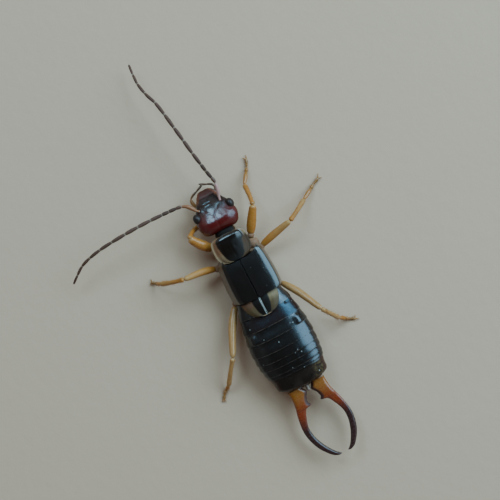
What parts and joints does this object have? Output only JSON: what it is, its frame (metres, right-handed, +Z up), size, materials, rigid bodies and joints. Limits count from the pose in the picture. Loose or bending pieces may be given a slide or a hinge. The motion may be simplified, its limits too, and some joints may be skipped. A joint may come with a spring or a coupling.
{
  "type": "earwig",
  "caption": "Life-size still model of a male winged earwig: black body, dark red head, pale folded wing tips, amber legs, long feelers and curved amber pincers.",
  "frame": {"origin": "on the floor, under the middle of the box round the whole insect", "axes": "+Y towards the head, +X to the insect's right, +Z up"},
  "size_m": [0.015, 0.0246, 0.0022],
  "materials": {
    "head": "glossy dark mahogany cuticle, black-brown at the front",
    "mouth_parts": "satin orange-brown cuticle",
    "eye": "finely faceted black compound eye",
    "feeler_base": "satin orange-brown cuticle",
    "feeler": "dull brown-grey cuticle with fine down and pale joints",
    "soft_skin": "satin brown skin of the underside, neck and tail plate",
    "pronotum": "glossy black disc with broad pale horn-coloured margins",
    "wing_cover": "satin black leathery wing cover with brown side edge",
    "wing_tip": "satin tan patch on a dark brown folded wing tip",
    "abdomen": "glossy near-black rings with fine pale hind margins and redder sides",
    "pincer": "glossy amber at the root, red-brown to nearly black at the tip",
    "leg": "satin amber cuticle with paler knees and browner feet"
  },
  "bodies": {
    "root": {"eye_left": "eye", "eye_right": "eye", "head_capsule": "head", "upper_lip": "head", "jaw_left": "mouth_parts", "jaw_right": "mouth_parts", "lower_lip": "mouth_parts", "palp_left": "mouth_parts", "palp_right": "mouth_parts", "feeler_left_base": "feeler_base", "feeler_left_whip": "feeler", "feeler_right_base": "feeler_base", "feeler_right_whip": "feeler", "neck": "soft_skin", "pronotum": "pronotum", "fore_chest": "soft_skin", "hind_chest": "soft_skin", "wing_cover_left": "wing_cover", "wing_cover_right": "wing_cover", "wing_tip_left": "wing_tip", "wing_tip_right": "wing_tip", "leg_front_left_hip": "leg", "leg_front_left_thigh": "leg", "leg_front_left_shin": "leg", "leg_front_left_foot": "leg", "leg_front_right_hip": "leg", "leg_front_right_thigh": "leg", "leg_front_right_shin": "leg", "leg_front_right_foot": "leg", "leg_middle_left_hip": "leg", "leg_middle_left_thigh": "leg", "leg_middle_left_shin": "leg", "leg_middle_left_foot": "leg", "leg_middle_right_hip": "leg", "leg_middle_right_thigh": "leg", "leg_middle_right_shin": "leg", "leg_middle_right_foot": "leg", "leg_hind_left_hip": "leg", "leg_hind_left_thigh": "leg", "leg_hind_left_shin": "leg", "leg_hind_left_foot": "leg", "leg_hind_right_hip": "leg", "leg_hind_right_thigh": "leg", "leg_hind_right_shin": "leg", "leg_hind_right_foot": "leg", "abdomen_ring_1": "abdomen", "abdomen_ring_2": "abdomen", "abdomen_ring_3": "abdomen", "abdomen_ring_4": "abdomen", "abdomen_ring_5": "abdomen", "abdomen_ring_6": "abdomen", "abdomen_ring_7": "abdomen", "abdomen_ring_8": "abdomen", "abdomen_last_ring": "abdomen", "tail_plate": "soft_skin", "pincer_left": "pincer", "pincer_right": "pincer"}
  },
  "joints": []
}
